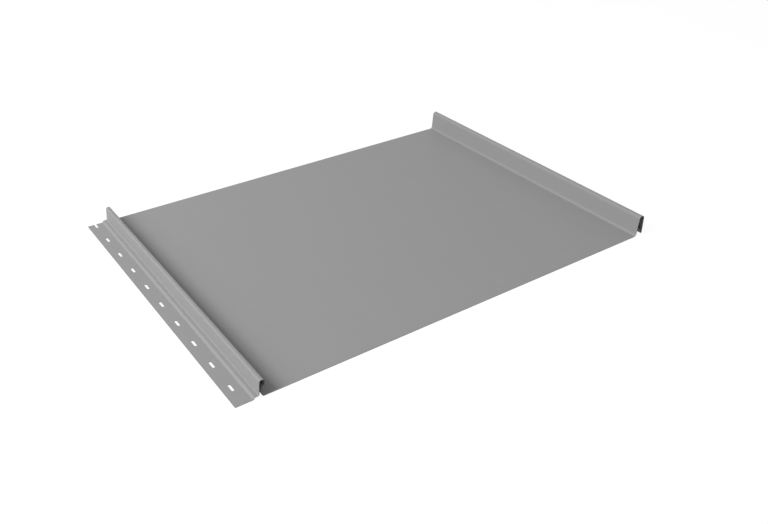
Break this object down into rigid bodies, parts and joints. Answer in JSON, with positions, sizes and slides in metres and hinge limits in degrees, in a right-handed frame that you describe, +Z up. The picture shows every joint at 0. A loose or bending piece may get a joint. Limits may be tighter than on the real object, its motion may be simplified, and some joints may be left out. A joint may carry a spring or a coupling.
{
  "type": "standing seam roof panel",
  "caption": "Flat roll-formed steel roof panel with a slotted nailing strip and male rib along one edge and a snap-fit female rib along the other.",
  "frame": {"origin": "on the surface that the panel lies on, under the centre of its bounding box", "axes": "+X across the panel, from the nailing strip and male rib towards the female rib; +Y along the seams; +Z up, out of the coated face"},
  "size_m": [0.5416, 0.4, 0.026],
  "materials": {
    "coated_steel": "satin grey coil coating on galvanised steel, with a mid grey epoxy back coat"
  },
  "bodies": {
    "root": {"roof_panel": "coated_steel"}
  },
  "joints": []
}
